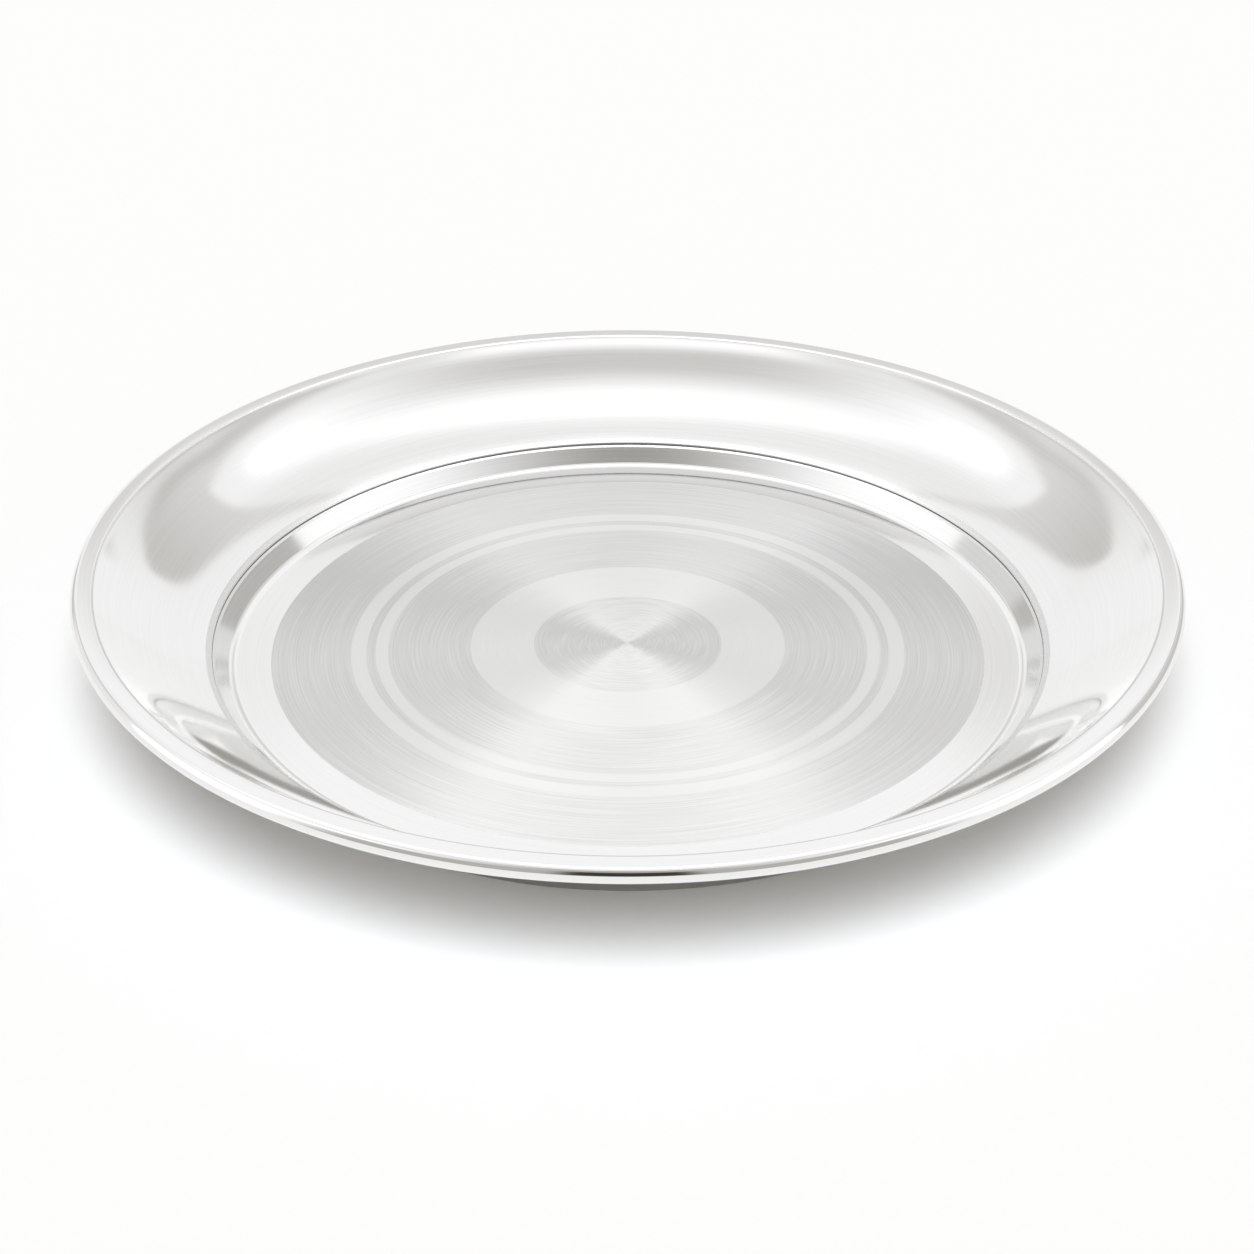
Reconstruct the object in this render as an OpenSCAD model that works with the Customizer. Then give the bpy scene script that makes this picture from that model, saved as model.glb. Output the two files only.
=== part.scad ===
// Thali: a round stainless-steel dinner plate with a flat floor, a short sloping well wall, a wide
// flared rim with a flat lip rolled over a stiffening wire, and a splayed foot ring welded under the
// floor.
// The origin is the centre of the circle that the foot stands on, and +Z runs up the plate's axis.
// Sizes are in millimetres, and slopes and turns are in degrees, from the horizontal outwards.

/* [Sheet] */
// Thickness of the sheet that the plate is pressed from
sheet_t = 0.8; // [0.5:0.1:1.2]

/* [Well] */
// Diameter of the flat floor, out to the start of its fillet
floor_d = 216; // [190:1:226]
// Radius of the fillet between the floor and the wall, on the upper face
floor_fillet_r = 2.9; // [1.5:0.1:4]
// Slope of the well wall
wall_slope = 47; // [43:1:70]
// Depth of the well, from the floor up to the start of the flare
well_depth = 5.9; // [5:0.1:12]
// Radius of the bend over the top of the wall, on the upper face
well_edge_r = 2; // [1.3:0.1:4]

/* [Rim] */
// Overall diameter, measured over the rolled edge
plate_d = 300; // [280:1:360]
// Slope of the flare where it leaves the well
flare_start_slope = 33; // [26:0.5:38]
// Slope of the flare where it is steepest
flare_steep_slope = 44.5; // [41:0.5:50]
// Radius of the bend over the top of the flare, on the upper face
lip_bend_r = 1.3; // [1.3:0.1:4]
// Slope of the flat lip between the flare and the rolled edge
lip_slope = 0; // [-6:1:10]
// Width of the flat lip
lip_w = 3.2; // [1:0.1:6]

/* [Rolled edge] */
// Diameter of the stiffening wire inside the rolled edge
wire_d = 3; // [2:0.1:4]
// Room between the wire and the sheet that is rolled round it
wire_gap = 0.05; // [0.02:0.01:0.2]
// Turn of the sheet round the wire
roll_turn = 290; // [240:5:295]

/* [Foot ring] */
// Height of the foot ring
foot_h = 4.6; // [3.5:0.1:10]
// Thickness of the foot ring's strip
foot_t = 1; // [0.6:0.1:1.4]
// Width of the foot ring's flange, which is welded flat under the floor
flange_w = 9; // [4:0.5:20]
// Distance from the edge of the flat floor in to the foot ring's bend
foot_inset = 2; // [0:0.5:20]
// Radius of the foot ring's bend, on the outer face
foot_bend_r = 1.6; // [1.5:0.1:3]
// Slope of the foot ring's skirt, down and outwards
skirt_slope = 60; // [45:1:85]

/* [Hidden] */
$fn = 180;

polished_steel = [0.82, 0.82, 0.81];
wire_steel = [0.66, 0.66, 0.66];
satin_steel = [0.72, 0.72, 0.71];

// Turn of one step along a bend, and the least number of steps in a bend
bend_step = 7;
least_steps = 8;

// Unit vectors of a strip in section that runs outwards at a slope: up off its face, and along it
function off_face(slope) = [-sin(slope), cos(slope)];
function along(slope) = [cos(slope), sin(slope)];

// Points along a bend from one slope to another, after its first point. A hollow bend has its centre
// above the strip and a crowned one below it.
function bend_slopes(from, to) =
    let (steps = max(least_steps, ceil(abs(to - from) / bend_step)))
    [for (i = [1:steps]) from + (to - from) * i / steps];
function hollow_bend(centre, r, from, to) = [for (s = bend_slopes(from, to)) centre - r * off_face(s)];
function crowned_bend(centre, r, from, to) = [for (s = bend_slopes(from, to)) centre + r * off_face(s)];
function reversed(points) = [for (i = [len(points) - 1:-1:0]) points[i]];

// Well: flat floor, fillet, straight wall and the bend over the well's edge
floor_z = foot_h + sheet_t;
floor_end = [floor_d / 2, floor_z];
fillet_c = floor_end + floor_fillet_r * off_face(0);
wall_start = fillet_c - floor_fillet_r * off_face(wall_slope);
wall_end_z = floor_z + well_depth - well_edge_r * (cos(flare_start_slope) - cos(wall_slope));
wall_len = (wall_end_z - wall_start.y) / sin(wall_slope);
wall_end = wall_start + wall_len * along(wall_slope);
edge_c = wall_end - well_edge_r * off_face(wall_slope);
flare_start = edge_c + well_edge_r * off_face(flare_start_slope);

// Rim: the roll is as large as the wire, its room and the sheet make it, and the flare's radius is
// the one that takes the sheet from the well's edge out to the bend into the lip
roll_r = wire_d / 2 + wire_gap + sheet_t;
lip_start_x = plate_d / 2 - roll_r - roll_r * sin(lip_slope) - lip_w * cos(lip_slope);
flare_end_x = lip_start_x - lip_bend_r * (sin(flare_steep_slope) - sin(lip_slope));
flare_w = flare_end_x - flare_start.x;
flare_bend_r = flare_w / (sin(flare_steep_slope) - sin(flare_start_slope));
flare_c = flare_start + flare_bend_r * off_face(flare_start_slope);
lip_bend_c = flare_c - (flare_bend_r + lip_bend_r) * off_face(flare_steep_slope);
lip_end = lip_bend_c + lip_bend_r * off_face(lip_slope) + lip_w * along(lip_slope);
roll_c = lip_end - roll_r * off_face(lip_slope);

// The sheet in section, from the axis out to its rolled end, at a depth below its upper face
function sheet_face(depth) = concat(
    [[0, floor_z - depth], floor_end - depth * off_face(0)],
    hollow_bend(fillet_c, floor_fillet_r + depth, 0, wall_slope),
    [wall_end - depth * off_face(wall_slope)],
    crowned_bend(edge_c, well_edge_r - depth, wall_slope, flare_start_slope),
    hollow_bend(flare_c, flare_bend_r + depth, flare_start_slope, flare_steep_slope),
    crowned_bend(lip_bend_c, lip_bend_r - depth, flare_steep_slope, lip_slope),
    [lip_end - depth * off_face(lip_slope)],
    crowned_bend(roll_c, roll_r - depth, lip_slope, lip_slope - roll_turn)
);

// The foot's strip in section, from the flange's inner edge out to the table, at a depth below its
// outer face
foot_bend_c = [floor_d / 2 - foot_inset, foot_h - foot_bend_r];
function skirt_start(depth) = foot_bend_c + (foot_bend_r - depth) * off_face(-skirt_slope);
function skirt_end(depth) = [skirt_start(depth).x + skirt_start(depth).y / tan(skirt_slope), 0];
function foot_face(depth) = concat(
    [foot_bend_c + [-flange_w, foot_bend_r - depth], foot_bend_c + [0, foot_bend_r - depth]],
    crowned_bend(foot_bend_c, foot_bend_r - depth, 0, -skirt_slope),
    [skirt_end(depth)]
);

// The plate: one pressed sheet, from the floor out to the edge that is rolled round the wire
module plate_body() {
    color(polished_steel)
        rotate_extrude()
            polygon(concat(sheet_face(0), reversed(sheet_face(sheet_t))));
}

// The stiffening wire that the rim is rolled round
module rim_wire() {
    color(wire_steel)
        rotate_extrude()
            translate(roll_c)
                circle(d = wire_d);
}

// The foot: a bent strip whose flange is welded under the floor and whose skirt stands on the table
module foot_ring() {
    color(satin_steel)
        rotate_extrude()
            polygon(concat(foot_face(0), reversed(foot_face(foot_t))));
}

plate_body();
rim_wire();
foot_ring();
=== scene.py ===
import math

import bpy
import numpy as np
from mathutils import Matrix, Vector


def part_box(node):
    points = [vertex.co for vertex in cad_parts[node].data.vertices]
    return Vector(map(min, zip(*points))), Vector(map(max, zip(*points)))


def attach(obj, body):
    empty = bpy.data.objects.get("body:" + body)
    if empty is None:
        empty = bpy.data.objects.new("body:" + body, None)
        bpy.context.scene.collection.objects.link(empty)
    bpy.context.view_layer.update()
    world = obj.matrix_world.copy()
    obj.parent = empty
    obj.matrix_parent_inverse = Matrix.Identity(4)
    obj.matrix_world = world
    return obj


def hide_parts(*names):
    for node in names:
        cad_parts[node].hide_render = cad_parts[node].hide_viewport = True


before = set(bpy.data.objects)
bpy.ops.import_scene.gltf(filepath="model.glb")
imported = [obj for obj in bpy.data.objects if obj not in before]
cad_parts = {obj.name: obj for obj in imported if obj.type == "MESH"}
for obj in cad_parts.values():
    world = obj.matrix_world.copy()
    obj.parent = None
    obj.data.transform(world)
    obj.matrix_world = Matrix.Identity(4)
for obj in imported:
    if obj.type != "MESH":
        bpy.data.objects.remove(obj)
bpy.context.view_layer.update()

# The plate is one disc of stainless sheet, pressed to a flat floor, a short wall and a hollow flare, with
# its edge rolled over a wire. It is polished all over, and bands of the floor are then brushed on the
# lathe, so their fine lines run round the plate.
sheet_thick = 0.0008
floor_z = 0.0054
floor_r, floor_fillet_r = 0.108, 0.0029
wall_slope, well_depth, well_edge_r = 47.0, 0.0059, 0.002
flare_start_slope, flare_steep_slope = 33.0, 44.5
lip_bend_r, lip_slope, lip_w = 0.0013, 0.0, 0.0032
roll_r, roll_turn = 0.00235, 290.0
plate_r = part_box("plate_body")[1].x
brushed_bands = np.array([[0.0, 0.0261], [0.0437, 0.0665], [0.0700, 0.0725], [0.0768, 0.0986]])
fillet_steps, edge_steps, flare_steps, lip_bend_steps, roll_steps, cut_steps = 12, 12, 30, 12, 48, 8
rings_in_band, rings_under, under_share, plate_around = 4, 6, 0.5, 400


def off_face(slope):
    """Unit vector up off a strip that climbs outwards at a slope in degrees: minus its sine outwards, and
    its cosine up."""
    turn = np.radians(np.asarray(slope, float))
    return np.stack([-np.sin(turn), np.cos(turn)], axis=-1)


def along(slope):
    """Unit vector outwards along a strip at a slope in degrees: off_face turned a quarter turn down."""
    return off_face(slope) @ np.array([[0.0, -1.0], [1.0, 0.0]])


def bend(centre, radius, start, end, steps):
    """Points of a bend in section after its first one: the centre plus the radius along off_face, as the
    slope goes evenly from start to end. A negative radius is a hollow bend, with its centre above it."""
    slopes = start + (end - start) * np.arange(1, steps + 1) / steps
    return centre + radius * off_face(slopes)


# the well, the flare, the lip and the roll meet in line, and the flare's radius is the one that takes the
# sheet from the well's edge out to the lip
fillet_c = np.array([floor_r, floor_z]) + floor_fillet_r * off_face(0)
wall_start = fillet_c - floor_fillet_r * off_face(wall_slope)
edge_rise = well_edge_r * (off_face(flare_start_slope) - off_face(wall_slope))[1]
wall_rise = floor_z + well_depth - edge_rise - wall_start[1]
wall_end = wall_start + np.array([wall_rise / math.tan(math.radians(wall_slope)), wall_rise])
edge_c = wall_end - well_edge_r * off_face(wall_slope)
flare_start = edge_c + well_edge_r * off_face(flare_start_slope)
steep_sine, start_sine, lip_sine = np.sin(np.radians([flare_steep_slope, flare_start_slope, lip_slope]))
lip_start_x = plate_r - roll_r - roll_r * lip_sine - lip_w * off_face(lip_slope)[1]
flare_w = lip_start_x - lip_bend_r * (steep_sine - lip_sine) - flare_start[0]
flare_bend_r = flare_w / (steep_sine - start_sine)
flare_c = flare_start + flare_bend_r * off_face(flare_start_slope)
lip_bend_c = flare_c - (flare_bend_r + lip_bend_r) * off_face(flare_steep_slope)
lip_end = lip_bend_c + lip_bend_r * off_face(lip_slope) + lip_w * along(lip_slope)
roll_c = lip_end - roll_r * off_face(lip_slope)
roll_end = lip_slope - roll_turn

# a fine step is pressed into the upper face at the top of the wall: a narrow tread, a steep riser, and a
# long easing into the flare, whose radius and place close the line between the wall and the flare
tread_slope, riser_slope, ease_slope, join_slope = 30.0, 80.0, 32.0, 33.4
tread_w, riser_w = 0.0007, 0.0003
tread_bend_r, riser_foot_r, riser_top_r = 0.0004, 0.0002, 0.0005
tread_steps, riser_foot_steps, riser_top_steps, ease_steps = 5, 6, 8, 10


def step_line(begin, ease_r):
    """The step in section after its first point: a crowned bend from the wall, the straight tread, a hollow
    bend, the straight riser, a crowned bend and the hollow easing."""
    tread = bend(begin - tread_bend_r * off_face(wall_slope), tread_bend_r,
                 wall_slope, tread_slope, tread_steps)
    foot = tread[-1] + tread_w * along(tread_slope)
    rise = bend(foot + riser_foot_r * off_face(tread_slope), -riser_foot_r,
                tread_slope, riser_slope, riser_foot_steps)
    top = rise[-1] + riser_w * along(riser_slope)
    over = bend(top - riser_top_r * off_face(riser_slope), riser_top_r,
                riser_slope, ease_slope, riser_top_steps)
    ease = bend(over[-1] + ease_r * off_face(ease_slope), -ease_r, ease_slope, join_slope, ease_steps)
    return np.concatenate([tread, foot[None], rise, top[None], over, ease])


join = flare_c - flare_bend_r * off_face(join_slope)
step_reach = step_line(np.zeros(2), 0.0)[-1]
up_wall, ease_r = np.linalg.solve(
    np.stack([along(wall_slope), off_face(ease_slope) - off_face(join_slope)], axis=1),
    join - wall_start - step_reach)
step_start = wall_start + up_wall * along(wall_slope)


def sheet_face(depth, radii, share):
    """The sheet in section from the floor out to its rolled end, at a depth below the upper face: the
    floor's rings at the given radii, then each bend as an arc of that share of its steps, with its radius
    grown or shrunk by the depth. The upper face has the step between the wall and the flare, and other
    faces have a plain bend."""
    rings = np.stack([radii, np.full(len(radii), floor_z - depth)], axis=1)
    plain = [wall_end[None] - depth * off_face(wall_slope),
             bend(edge_c, well_edge_r - depth, wall_slope, flare_start_slope, int(edge_steps * share))]
    stepped = [step_start[None], step_line(step_start, ease_r)]
    flare_slope = flare_start_slope if depth else join_slope
    return np.concatenate([
        rings,
        bend(fillet_c, -(floor_fillet_r + depth), 0, wall_slope, int(fillet_steps * share)),
        *(plain if depth else stepped),
        bend(flare_c, -(flare_bend_r + depth), flare_slope, flare_steep_slope, int(flare_steps * share)),
        bend(lip_bend_c, lip_bend_r - depth, flare_steep_slope, lip_slope, int(lip_bend_steps * share)),
        lip_end[None] - depth * off_face(lip_slope),
        bend(roll_c, roll_r - depth, lip_slope, roll_end, int(roll_steps * share)),
    ])


def turned(name, section, closed, around):
    """A section turned about the plate's axis: a point at radius r and height z goes to (r cos a, r sin a,
    z) at every angle a. A closed section joins its last ring to its first, and an open one ends in a pole
    on the axis at each end. The UV map is the length along the section, and the share of a full turn."""
    rings = section if closed else section[1:-1]
    poles = section[:0] if closed else section[[0, -1]]
    count = len(rings)
    angle = 2 * np.pi * np.arange(around) / around
    x = rings[:, 0, None] * np.cos(angle)
    y = rings[:, 0, None] * np.sin(angle)
    z = np.broadcast_to(rings[:, 1, None], x.shape)
    on_axis = np.zeros(len(poles))
    verts = np.concatenate([np.stack([x, y, z], axis=2).reshape(-1, 3),
                            np.stack([on_axis, on_axis, poles[:, 1]], axis=1)])
    near = np.arange(count if closed else count - 1)
    far = (near + 1) % count
    here = np.arange(around)
    there = (here + 1) % around
    faces = np.stack([near[:, None] * around + here, far[:, None] * around + here,
                      far[:, None] * around + there, near[:, None] * around + there],
                     axis=2).reshape(-1, 4).tolist()
    steps = np.hypot(*np.diff(np.concatenate([section, section[:1]]), axis=0).T)
    length = np.concatenate([[0.0], np.cumsum(steps)])
    strips = near + (0 if closed else 1)
    run = length[strips, None]
    run_next = run + steps[strips, None]
    turn, turn_next = here / around, (here + 1) / around
    corners = ((run, turn), (run_next, turn), (run_next, turn_next), (run, turn_next))
    uv = np.stack([np.stack(np.broadcast_arrays(*corner), axis=-1) for corner in corners],
                  axis=2).reshape(-1, 2)
    if not closed:
        first_pole, last_pole = np.full(around, count * around), np.full(around, count * around + 1)
        last_ring = (count - 1) * around
        faces += np.stack([first_pole, here, there], axis=1).tolist()
        faces += np.stack([last_ring + here, last_pole, last_ring + there], axis=1).tolist()
        middle = (here + 0.5) / around
        first_run, last_run, end_run = length[1], length[-3], length[-2]
        for corners in (((0.0, middle), (first_run, turn), (first_run, turn_next)),
                        ((last_run, turn), (end_run, middle), (last_run, turn_next))):
            fan = np.stack([np.stack(np.broadcast_arrays(*corner), axis=-1) for corner in corners], axis=1)
            uv = np.concatenate([uv, fan.reshape(-1, 2)])
    mesh = bpy.data.meshes.new(name)
    mesh.from_pydata(verts.tolist(), [], faces)
    mesh.uv_layers.new(name="turned").data.foreach_set("uv", uv.astype(np.float32).ravel())
    mesh.polygons.foreach_set("use_smooth", np.ones(len(faces), bool))
    piece = bpy.data.objects.new(name, mesh)
    bpy.context.scene.collection.objects.link(piece)
    return piece


# each band of the floor has its own rings, so the finish changes on an edge of the mesh
band_edges = np.unique(np.concatenate([brushed_bands.ravel(), [floor_r]]))
floor_radii = np.concatenate([np.linspace(a, b, rings_in_band, endpoint=False) for a, b in
                              zip(band_edges[:-1], band_edges[1:])] + [[floor_r]])
upper = sheet_face(0.0, floor_radii, 1.0)
under = sheet_face(sheet_thick, np.linspace(0.0, floor_r, rings_under), under_share)
cut_c = roll_c + (roll_r - sheet_thick / 2) * off_face(roll_end)
cut_edge = bend(cut_c, sheet_thick / 2, roll_end, roll_end - 180, cut_steps)[:-1]
plate_section = np.concatenate([upper, cut_edge, under[::-1]])
plate = turned("plate_sheet", plate_section, False, plate_around)


def brushed_lines(tree, fine, coarse):
    """The lathe's lines: noise read at the distance from the axis, which runs fast, and at the direction
    from it, which runs slowly, so that its streaks follow circles. Fine and coarse lines are mixed."""
    place = tree.nodes.new("ShaderNodeTexCoord")
    flat = tree.nodes.new("ShaderNodeVectorMath")
    flat.operation = "MULTIPLY"
    flat.inputs[1].default_value = (1.0, 1.0, 0.0)
    tree.links.new(place.outputs["Object"], flat.inputs[0])
    away = tree.nodes.new("ShaderNodeVectorMath")
    away.operation = "LENGTH"
    tree.links.new(flat.outputs["Vector"], away.inputs[0])
    aim = tree.nodes.new("ShaderNodeVectorMath")
    aim.operation = "NORMALIZE"
    tree.links.new(flat.outputs["Vector"], aim.inputs[0])
    split = tree.nodes.new("ShaderNodeSeparateXYZ")
    tree.links.new(aim.outputs["Vector"], split.inputs[0])
    turn = tree.nodes.new("ShaderNodeCombineXYZ")
    tree.links.new(split.outputs["X"], turn.inputs["Y"])
    tree.links.new(split.outputs["Y"], turn.inputs["Z"])
    total = None
    for pitch, reach, share in ((fine, 2.2, 0.88), (coarse, 0.8, 0.12)):
        count = tree.nodes.new("ShaderNodeMath")
        count.operation = "DIVIDE"
        tree.links.new(away.outputs["Value"], count.inputs[0])
        count.inputs[1].default_value = pitch
        lay = tree.nodes.new("ShaderNodeCombineXYZ")
        tree.links.new(count.outputs["Value"], lay.inputs["X"])
        sweep = tree.nodes.new("ShaderNodeVectorMath")
        sweep.operation = "MULTIPLY_ADD"
        tree.links.new(turn.outputs["Vector"], sweep.inputs[0])
        sweep.inputs[1].default_value = (0.0, reach, reach)
        tree.links.new(lay.outputs["Vector"], sweep.inputs[2])
        noise = tree.nodes.new("ShaderNodeTexNoise")
        noise.inputs["Scale"].default_value = 1.0
        noise.inputs["Detail"].default_value = 1.0
        noise.inputs["Roughness"].default_value = 0.6
        tree.links.new(sweep.outputs["Vector"], noise.inputs["Vector"])
        part = tree.nodes.new("ShaderNodeMath")
        part.operation = "MULTIPLY_ADD"
        tree.links.new(noise.outputs["Fac"], part.inputs[0])
        part.inputs[1].default_value = share
        part.inputs[2].default_value = 0.0
        if total is not None:
            tree.links.new(total, part.inputs[2])
        total = part.outputs["Value"]
    return total


# the range of the noise that makes the lines, and where the painted shade darkens the colour to the far side
lines_low, lines_high = 0.25, 0.75
far_shade_from, far_shade_to = -0.02, 0.055


def steel(name, dark, light, rough, spread=0.0, fine=0.0006, coarse=0.003, depth=0.0, far_shade=1.0):
    """A stainless steel whose colour, roughness and tiny relief follow the lathe's lines, of a fine and a
    coarse pitch in metres: colour from dark to light, roughness between its two values, and relief of a
    depth in metres. The shine is spread across the lines, along the UV map's first direction. The colour
    darkens towards the plate's far side, to the share given last, as painted shade."""
    made = bpy.data.materials.new(name)
    made.use_nodes = True
    tree = made.node_tree
    shader = tree.nodes["Principled BSDF"]
    shader.inputs["Metallic"].default_value = 1.0
    shader.inputs["Anisotropic"].default_value = spread
    lines = brushed_lines(tree, fine, coarse)
    tone = tree.nodes.new("ShaderNodeValToRGB")
    for stop, position, grey in zip(tone.color_ramp.elements, (lines_low, lines_high), (dark, light)):
        stop.position, stop.color = position, (*grey, 1.0)
    tree.links.new(lines, tone.inputs["Fac"])
    colour = tone.outputs["Color"]
    # painted shade: the colour darkens towards the plate's far side
    if far_shade < 1.0:
        place = tree.nodes.new("ShaderNodeTexCoord")
        place_parts = tree.nodes.new("ShaderNodeSeparateXYZ")
        tree.links.new(place.outputs["Object"], place_parts.inputs[0])
        far_shade_ramp = tree.nodes.new("ShaderNodeMapRange")
        far_shade_ramp.interpolation_type = "SMOOTHSTEP"
        far_shade_ramp.inputs["From Min"].default_value, far_shade_ramp.inputs["From Max"].default_value = far_shade_from, far_shade_to
        far_shade_ramp.inputs["To Min"].default_value, far_shade_ramp.inputs["To Max"].default_value = 1.0, far_shade
        tree.links.new(place_parts.outputs["Y"], far_shade_ramp.inputs["Value"])
        far_shaded_colour = tree.nodes.new("ShaderNodeVectorMath")
        far_shaded_colour.operation = "SCALE"
        tree.links.new(colour, far_shaded_colour.inputs[0])
        tree.links.new(far_shade_ramp.outputs["Result"], far_shaded_colour.inputs["Scale"])
        colour = far_shaded_colour.outputs["Vector"]
    tree.links.new(colour, shader.inputs["Base Color"])
    grain = tree.nodes.new("ShaderNodeMapRange")
    grain.inputs["From Min"].default_value, grain.inputs["From Max"].default_value = lines_low, lines_high
    grain.inputs["To Min"].default_value, grain.inputs["To Max"].default_value = rough
    tree.links.new(lines, grain.inputs["Value"])
    tree.links.new(grain.outputs["Result"], shader.inputs["Roughness"])
    relief = tree.nodes.new("ShaderNodeBump")
    relief.inputs["Strength"].default_value = 1.0
    relief.inputs["Distance"].default_value = depth
    tree.links.new(lines, relief.inputs["Height"])
    tree.links.new(relief.outputs["Normal"], shader.inputs["Normal"])
    across = tree.nodes.new("ShaderNodeTangent")
    across.direction_type = "UV_MAP"
    across.uv_map = "turned"
    tree.links.new(across.outputs["Tangent"], shader.inputs["Tangent"])
    return made


plate_finishes = [
    steel("polished_steel", (0.85, 0.85, 0.845), (0.88, 0.88, 0.875), (0.07, 0.09)),
    # the brushed and the bright steel darken towards the plate's far side, as painted shade
    steel("brushed_steel", (0.70, 0.70, 0.695), (0.855, 0.855, 0.85), (0.34, 0.38), 1.0,
          fine=0.00038, coarse=0.0014, far_shade=0.865),
    steel("satin_steel", (0.76, 0.76, 0.755), (0.86, 0.86, 0.855), (0.32, 0.42), 0.4,
          fine=0.0007, depth=0.000003),
    steel("bright_steel", (0.815, 0.815, 0.81), (0.845, 0.845, 0.84), (0.32, 0.34), 0.95, far_shade=0.92),
    # darker copies of the polished steel as painted shade: up the riser, on the wall, in the step and lip's
    # bend
    steel("riser_painted_shade_steel", (0.15, 0.147, 0.14), (0.22, 0.217, 0.21), (0.20, 0.30)),
    steel("wall_painted_shade_steel", (0.69, 0.69, 0.685), (0.73, 0.73, 0.725), (0.09, 0.13)),
    steel("soft_painted_shade_steel", (0.70, 0.70, 0.695), (0.74, 0.74, 0.735), (0.26, 0.30)),
]
for plate_finish in plate_finishes:
    plate.data.materials.append(plate_finish)
polished, brushed, satin, bright, riser_painted_shade, wall_painted_shade, soft = range(len(plate_finishes))

# the finish of each strip of the section: brushed or bright on the floor, steel darkened as painted shade
# on the wall, and in the step and the lip's bend, where the wheel hardly reaches, rougher steel with that
# painted shade too, darkest up the riser. The hidden face is satin, and the rest is polished
middles = (plate_section[:-1, 0] + plate_section[1:, 0]) / 2
on_floor = np.arange(len(middles)) < len(floor_radii) - 1
in_band = ((middles[:, None] > brushed_bands[:, 0]) & (middles[:, None] < brushed_bands[:, 1])).any(axis=1)
between_bands = on_floor & (middles < brushed_bands.max())
finish = np.where(on_floor & in_band, brushed, np.where(between_bands, bright, polished))
finish[len(upper) + len(cut_edge):] = satin
wall_strip = len(floor_radii) + fillet_steps - 1
riser_from = wall_strip + 1 + tread_steps + 1
riser_to = riser_from + riser_foot_steps + 1
flare_from = riser_to + riser_top_steps + ease_steps
lip_bend_from = flare_from + flare_steps
lip_shade_from, lip_shade_to = 2, 9
# painted shade: darker steel on the wall, in the step and the lip's bend, and darkest up the riser
finish[wall_strip] = wall_painted_shade
finish[wall_strip + 1:flare_from] = soft
finish[riser_from:riser_to] = riser_painted_shade
finish[lip_bend_from + lip_shade_from:lip_bend_from + lip_shade_to] = soft
plate.data.polygons.foreach_set("material_index", np.concatenate([
    np.repeat(finish[1:-1], plate_around), np.repeat(finish[[0, -1]], plate_around)]).astype(np.int32))
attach(plate, "root")
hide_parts("plate_body")

# The wire inside the rolled edge stiffens the rim. It is drawn stainless wire, bent to a hoop and laid in
# the edge before that is rolled shut, so it shows only in the slit under the rim.
wire_r, wire_steps, wire_around = 0.0015, 24, 240
wire = turned("rim_wire_hoop", bend(roll_c, wire_r, 0, -360, wire_steps), True, wire_around)
wire.data.materials.append(steel("wire_steel", (0.60, 0.60, 0.595), (0.70, 0.70, 0.695), (0.22, 0.32), 0.3,
                                 fine=0.0004, coarse=0.002, depth=0.000002))
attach(wire, "root")
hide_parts("rim_wire")

# The foot is a strip of stainless sheet, bent to a flange and a splayed skirt and closed to a ring. Its
# flange is spot-welded flat under the floor, and its skirt stands on the table.
foot_h, foot_thick, foot_bend_r = 0.0046, 0.001, 0.0016
flange_w, foot_inset, skirt_slope = 0.009, 0.002, 60.0
foot_bend_c = np.array([floor_r - foot_inset, foot_h - foot_bend_r])
foot_outer_steps, foot_inner_steps, foot_around = 10, 8, 240


def foot_face(depth, steps):
    """The foot's strip in section from its flange's inner edge down to the table, at a depth below its
    outer face: a flat flange, a bend and a straight skirt that ends at height nought."""
    flange = foot_bend_c + np.array([[-flange_w, foot_bend_r - depth], [0.0, foot_bend_r - depth]])
    turn = bend(foot_bend_c, foot_bend_r - depth, 0, -skirt_slope, steps)
    run = turn[-1, 1] / math.tan(math.radians(skirt_slope))
    return np.concatenate([flange, turn, [[turn[-1, 0] + run, 0.0]]])


foot_section = np.concatenate([foot_face(0.0, foot_outer_steps),
                               foot_face(foot_thick, foot_inner_steps)[::-1]])
foot = turned("foot_skirt", foot_section, True, foot_around)
foot.data.materials.append(steel("foot_steel", (0.80, 0.80, 0.795), (0.90, 0.90, 0.895), (0.28, 0.36), 0.4,
                                 fine=0.0007, depth=0.000003))
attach(foot, "root")
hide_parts("foot_ring")

# The table is a plain matt white top, made as one flat disc far wider than the plate. It lies a hair under
# the foot's edge, so that the two never share a plane.
table_r, table_z, table_sides = 12.0, -0.00005, 96
table_white, table_rough = (0.96, 0.96, 0.96, 1.0), 0.9
table_angle = 2 * np.pi * np.arange(table_sides) / table_sides
table_verts = np.stack([table_r * np.cos(table_angle), table_r * np.sin(table_angle),
                        np.full(table_sides, table_z)], axis=1)
table_mesh = bpy.data.meshes.new("table_top")
table_mesh.from_pydata(table_verts.tolist(), [], [list(range(table_sides))])
table = bpy.data.objects.new("table_top", table_mesh)
bpy.context.scene.collection.objects.link(table)
matt = bpy.data.materials.new("matt_white")
matt.use_nodes = True
matt_shader = matt.node_tree.nodes["Principled BSDF"]
matt_shader.inputs["Base Color"].default_value = table_white
matt_shader.inputs["Roughness"].default_value = table_rough
matt_shader.inputs["Specular IOR Level"].default_value = 0.0
table_mesh.materials.append(matt)

# The studio is a white cove round the table, with one broad soft panel of light over the plate. The steel
# mirrors it, as light by direction: the panel and its hot strip, a grey gap behind each wing of the panel,
# white and darker side walls, and a dim side towards the viewer. Matt things get a plain even light.
world = bpy.data.worlds.new("studio")
bpy.context.scene.world = world
world.use_nodes = True
world.cycles.sampling_method = "NONE"
studio = world.node_tree
studio.nodes.clear()


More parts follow.
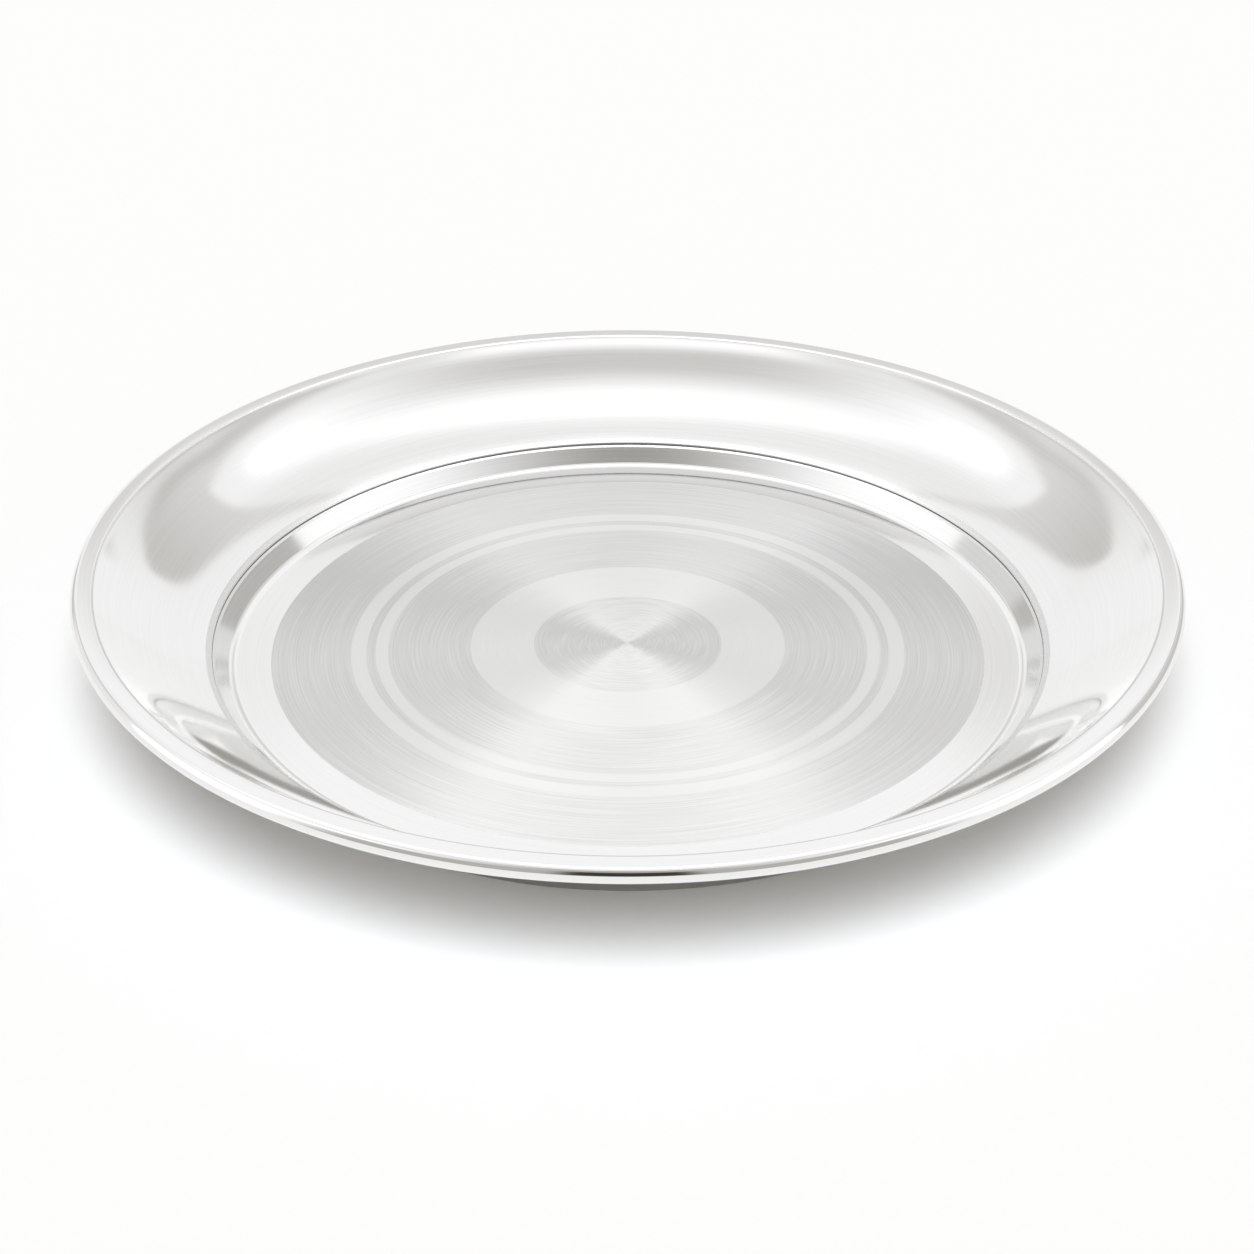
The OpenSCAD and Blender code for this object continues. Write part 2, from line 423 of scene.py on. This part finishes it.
def sums(operation, first, second=0.0, third=0.0):
    """One Math node on sockets or plain numbers."""
    node = studio.nodes.new("ShaderNodeMath")
    node.operation = operation
    for socket, value in zip(node.inputs, (first, second, third)):
        if isinstance(value, bpy.types.NodeSocket):
            studio.links.new(value, socket)
        else:
            socket.default_value = value
    return node.outputs["Value"]


def ramp(value, start, end, low=0.0, high=1.0):
    """A soft step: low at start, high at end, and a smooth S between them, level beyond both. The end may
    be below the start."""
    node = studio.nodes.new("ShaderNodeMapRange")
    node.interpolation_type = "SMOOTHSTEP"
    studio.links.new(value, node.inputs["Value"])
    for name, number in (("From Min", start), ("From Max", end), ("To Min", low), ("To Max", high)):
        node.inputs[name].default_value = number
    return node.outputs["Result"]


def blend_in(under_light, over_light, mask):
    """One light laid over another through a mask: under + mask times (over - under)."""
    return sums("MULTIPLY_ADD", sums("SUBTRACT", over_light, under_light), mask, under_light)


def both(*masks):
    """The product of masks."""
    total = masks[0]
    for mask in masks[1:]:
        total = sums("MULTIPLY", total, mask)
    return total


def bowed(value, middle, top, drop):
    """A low arch: top less drop times the square of the distance from its middle."""
    away = sums("SUBTRACT", value, middle)
    return sums("MULTIPLY_ADD", sums("MULTIPLY", away, away), -drop, top)


# every direction as degrees from straight up: out to either side, and back from the viewer
look = studio.nodes.new("ShaderNodeTexCoord")
look_parts = studio.nodes.new("ShaderNodeSeparateXYZ")
studio.links.new(look.outputs["Generated"], look_parts.inputs[0])
to_right, deep, up = (look_parts.outputs[axis] for axis in "XYZ")
wide = sums("ABSOLUTE", to_right)
in_degrees = 180 / math.pi
from_top = sums("MULTIPLY", sums("ARCCOSINE", up), in_degrees)
height = sums("SUBTRACT", 90.0, from_top)
level_reach = sums("MAXIMUM", sums("SQRT", sums("SUBTRACT", 1.0, sums("MULTIPLY", up, up))), 0.0001)
aside = sums("DIVIDE", sums("MULTIPLY", from_top, wide), level_reach)
behind = sums("DIVIDE", sums("MULTIPLY", from_top, deep), level_reach)
round_from_back = sums("MULTIPLY", sums("ARCTAN2", wide, deep), in_degrees)
# the panel is bent round a point behind straight up: the distance from that point, and the turn about it,
# from nought on the viewer's side
ring_back = 33.0
ring = sums("SQRT", sums("ADD", sums("MULTIPLY", aside, aside),
                         sums("POWER", sums("ABSOLUTE", sums("SUBTRACT", behind, ring_back)), 2.0)))
ring_turn = sums("MULTIPLY", sums("ARCTAN2", aside, sums("SUBTRACT", ring_back, behind)), in_degrees)


def by_side(left, right):
    """One value to the left and another to the right, with a short soft step between them."""
    return ramp(to_right, -0.01, 0.01, left, right)


# the white cove, dimmer low behind the plate, where the lip mirrors it, beside the panel's wings, and to
# either side, where the polished edge of the floor mirrors it
lip_side = 0.76
light = blend_in(1.0, ramp(behind, 58, 66, 1.05, 0.77), ramp(aside, 26, 12))
light = blend_in(light, lip_side, both(
    ramp(aside, 11.2, 13.2), ramp(aside, 24, 18), ramp(behind, 56.8, 62.4), ramp(behind, 66, 63.5)))
light = blend_in(light, ramp(ring_turn, 96, 140, 0.81, 1.0), both(
    ramp(ring, 41, 45), ramp(ring_turn, 16, 40), ramp(ring_turn, 146, 138)))
light = blend_in(light, by_side(0.96, 0.83), both(
    ramp(aside, 7.6, 9.2), ramp(aside, 11.4, 10.6), ramp(behind, 55.6, 58.2), ramp(behind, 61.6, 59.2)))
# the grey gap behind each wing of the panel, darker along its outer edge
gap_end = sums("ADD", bowed(ring, 45.5, 130.0, 0.40), by_side(-4.0, 0.0))
gap_rim = sums("MAXIMUM", sums("MULTIPLY_ADD", ring_turn, -0.137, 58.1), 46.6)
in_gap = sums("SUBTRACT", gap_rim, ring)
gap_tone = sums("SUBTRACT", ramp(behind, 30, 60, 0.78, 0.63), ramp(behind, 26, 10, 0.0, 0.16))
gap_tone = blend_in(gap_tone, by_side(0.65, 0.58), both(ramp(in_gap, 1.8, 0.5), ramp(ring_turn, 118, 100)))
light = blend_in(light, gap_tone, both(
    ramp(sums("SUBTRACT", gap_end, ring_turn), -1.0, 2.0), ramp(in_gap, -0.4, 0.5), ramp(ring_turn, 34, 54)))
# the panel of light: pale towards its ends and its inner edge, white along its middle
panel_white = 1.28
wing_end = bowed(sums("MINIMUM", ring, 40.7), 40.7, 94.5, 0.62)
to_end = sums("SUBTRACT", wing_end, ring_turn)
rim_in = sums("MULTIPLY", sums("MAXIMUM", sums("SUBTRACT", ring_turn, 42.0), 0.0), 0.075)
to_rim = sums("SUBTRACT", sums("MULTIPLY_ADD", ring_turn, -0.1, 55.9), sums("ADD", ring, rim_in))
light = blend_in(light, ramp(ring, 37.5, 40.5, 0.95, 1.03), both(
    ramp(to_end, -1.0, 2.0), ramp(to_rim, -0.5, 0.5)))
white_rim = sums("SUBTRACT", to_rim, ramp(ring_turn, 14, 44, -2.0, 1.6))
light = blend_in(light, panel_white, both(
    ramp(to_end, 8.0, 19.0), ramp(white_rim, -0.8, 1.4), ramp(ring, 39.0, 42.0)))
# a white ring inside the panel, with the hot strip, and a soft grey patch in the panel's front edge
ring_white, hot_strip, patch_grey = 1.25, 5.1, 0.66
inner = sums("MULTIPLY_ADD", ring_turn, 0.035, ring)
light = blend_in(light, ring_white, both(
    ramp(inner, 36.5, 35.7), ramp(inner, 15, 18), ramp(ring_turn, 93, 86)))
light = blend_in(light, hot_strip, both(
    ramp(ring, 18.5, 20.5), ramp(ring, 30.0, 28.0), ramp(ring_turn, 84, 48)))
patch = sums("MULTIPLY_ADD", sums("MULTIPLY", ring_turn, ring_turn), 0.0018, ring)
light = blend_in(light, patch_grey, both(
    ramp(patch, 43.5, 51.0), ramp(patch, 54.8, 53.2), ramp(ring_turn, 76, 12)))
# outside the panel: dim towards the viewer, white to either side, then a darker side wall
right_wall, back_wall, front_dim, front_dark = 0.64, 1.0, 0.50, 0.05
left_wall = ramp(ring_turn, 112, 120, 0.92, 0.66)
side_wall = blend_in(left_wall, right_wall, by_side(0.0, 1.0))
side_wall = blend_in(side_wall, back_wall, ramp(ring_turn, 128, 136))
beyond = sums("ADD", ring, ramp(ring_turn, 5, 85, 0.0, 8.4))
beyond_tone = blend_in(ramp(ring_turn, 0, 52, 0.46, 1.42), side_wall, ramp(ring_turn, 80.5, 83.5))
light = blend_in(light, beyond_tone, both(ramp(beyond, 57.8, 59.6), ramp(height, -2, 3)))
light = blend_in(light, front_dim, both(ramp(round_from_back, 100, 130), ramp(height, 46, 36)))
light = blend_in(light, front_dark, both(
    ramp(round_from_back, 164, 171), ramp(height, 48, 38), ramp(height, 2, 6)))

# what is mirrored twice over is paler: the rim shows the other side of the rim, and the floor shows the
# wall, with a dark stand low behind the plate
twice_middle, twice_pale, stand = 1.04, 1.12, 0.38
twice = blend_in(ramp(behind, 40, 44, 0.52, 0.86), twice_middle, both(
    ramp(behind, 18, 21), ramp(behind, 42, 39), ramp(aside, 12, 9)))
twice = blend_in(twice_pale, twice, both(ramp(behind, -20, -14), ramp(behind, 55, 52), ramp(aside, 19, 14)))
twice = blend_in(twice, stand, both(
    ramp(behind, 67.5, 69.5), ramp(behind, 77.5, 75.5), ramp(aside, 4.4, 1.6)))

# a third and each later mirroring gets a little more light, except low behind the plate. The camera sees
# white, and so does the steel where the studio is white, and all else gets an even light
lift_by, lift_low, even_light = 0.17, 0.88, 0.39
rays = studio.nodes.new("ShaderNodeLightPath")
light = blend_in(light, twice, ramp(rays.outputs["Glossy Depth"], 1.2, 1.8))
more_turns = sums("MAXIMUM", sums("SUBTRACT", rays.outputs["Glossy Depth"], 2.0), 0.0)
lift = blend_in(sums("MULTIPLY_ADD", more_turns, lift_by, 1.0), lift_low, both(
    ramp(more_turns, 0.2, 0.8), ramp(aside, 20.5, 18.5), ramp(behind, 45, 49), ramp(behind, 68, 64)))
light = sums("MULTIPLY", light, lift)
mirrored = sums("MAXIMUM", rays.outputs["Is Glossy Ray"], rays.outputs["Is Transmission Ray"])
unspread = sums("SUBTRACT", 1.0, sums("MINIMUM", rays.outputs["Diffuse Depth"], 1.0))
in_steel = sums("MULTIPLY", mirrored, unspread)
level = blend_in(even_light, light, in_steel)
level = blend_in(level, 1.0, rays.outputs["Is Camera Ray"])
# dim light is a little warm, and more so in the shadow than in the steel
shade = sums("MINIMUM", level, 1.0)
warm = studio.nodes.new("ShaderNodeCombineColor")
warm.inputs["Red"].default_value = 1.0
for part, in_shadow, in_mirror in (("Green", 0.085, 0.035), ("Blue", 0.22, 0.095)):
    studio.links.new(sums("POWER", shade, ramp(in_steel, 0.0, 1.0, in_shadow, in_mirror)), warm.inputs[part])
glow = studio.nodes.new("ShaderNodeBackground")
studio.links.new(warm.outputs["Color"], glow.inputs["Color"])
studio.links.new(level, glow.inputs["Strength"])
world_out = studio.nodes.new("ShaderNodeOutputWorld")
studio.links.new(glow.outputs["Background"], world_out.inputs["Surface"])

# The lamp is one wide soft light high over the viewer's shoulder. It lights the table and throws the
# plate's shadow on it, and the steel doesn't mirror it.
lamp = bpy.data.lights.new("table_lamp", "SUN")
lamp.energy = 2.558
lamp.color = (0.913, 0.955, 1.0)
lamp.angle = math.radians(36)
lamp_holder = bpy.data.objects.new("table_lamp", lamp)
lamp_holder.rotation_euler = (math.radians(31), 0.0, 0.0)
lamp_holder.visible_glossy = False
bpy.context.scene.collection.objects.link(lamp_holder)

# The camera stands in front of the plate with a long lens and looks down at the middle of its floor. Its
# small shift sets that point a little below the middle of the picture.
look_down, stand_off = math.radians(30.56), 0.7286
camera = bpy.data.cameras.new("viewer")
camera.sensor_width, camera.lens = 36.0, 75.13
camera.shift_x, camera.shift_y = -0.0006, 0.0126
camera_holder = bpy.data.objects.new("viewer", camera)
camera_holder.location = (0.0, -stand_off * math.cos(look_down), floor_z + stand_off * math.sin(look_down))
camera_holder.rotation_euler = (math.pi / 2 - look_down, 0.0, 0.0)
bpy.context.scene.collection.objects.link(camera_holder)
bpy.context.scene.camera = camera_holder
bpy.context.scene.view_settings.view_transform = "Standard"
